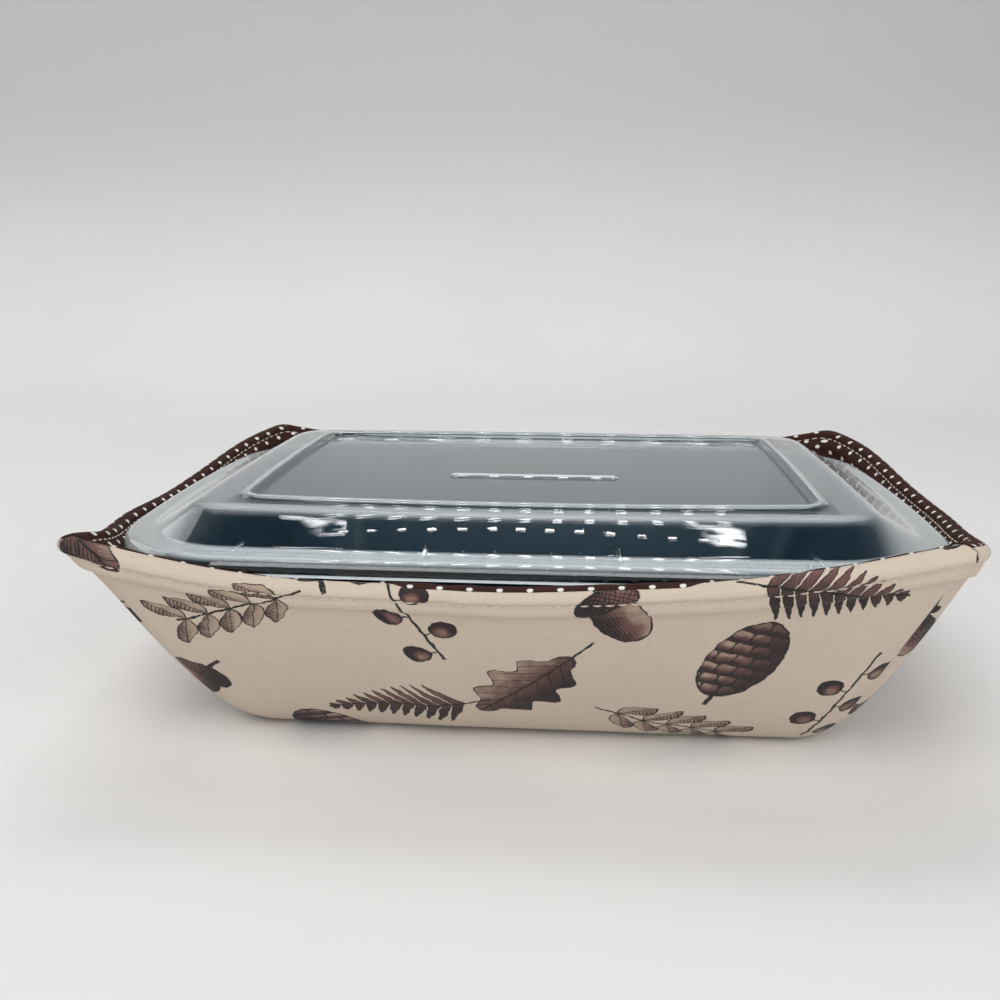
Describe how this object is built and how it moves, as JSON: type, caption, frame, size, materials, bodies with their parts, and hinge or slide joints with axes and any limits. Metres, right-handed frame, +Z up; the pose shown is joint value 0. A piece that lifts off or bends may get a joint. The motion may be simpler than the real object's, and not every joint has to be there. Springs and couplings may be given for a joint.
{
  "type": "microwave container cozy",
  "caption": "Quilted cotton cozy with flared sides and pinched corners, holding a rectangular take-out container with a clear domed lid.",
  "frame": {"origin": "middle of the cozy's base, on the surface that it stands on", "axes": "+X along the container, +Y away from the near long side, +Z up"},
  "size_m": [0.2364, 0.1724, 0.0664],
  "materials": {
    "print_cotton": "cream woven cotton with a brown leaf print",
    "dot_cotton": "dark brown woven cotton with white pin dots",
    "batting": "needled cotton batting",
    "thread": "off-white cotton sewing thread",
    "tray_plastic": "satin black moulded plastic",
    "clear_plastic": "clear thermoformed plastic"
  },
  "bodies": {
    "cozy": {"outer_cotton": "print_cotton", "outer_batting": "batting", "lining_batting": "batting", "lining_cotton": "dot_cotton", "rim_seam_thread": "thread", "topstitch_thread": "thread", "bobbin_thread": "thread", "outer_dart_thread_1": "thread", "outer_dart_thread_2": "thread", "outer_dart_thread_3": "thread", "outer_dart_thread_4": "thread", "lining_dart_thread_1": "thread", "lining_dart_thread_2": "thread", "lining_dart_thread_3": "thread", "lining_dart_thread_4": "thread"},
    "container": {"container_tray": "tray_plastic"},
    "lid": {"container_lid": "clear_plastic"}
  },
  "joints": [
    {"name": "container_lift", "type": "slide", "parent": "cozy", "child": "container", "axis": [0, 0, 1], "range_m": [0, 0.08]},
    {"name": "lid_lift", "type": "slide", "parent": "container", "child": "lid", "axis": [0, 0, 1], "range_m": [0, 0.06]}
  ]
}
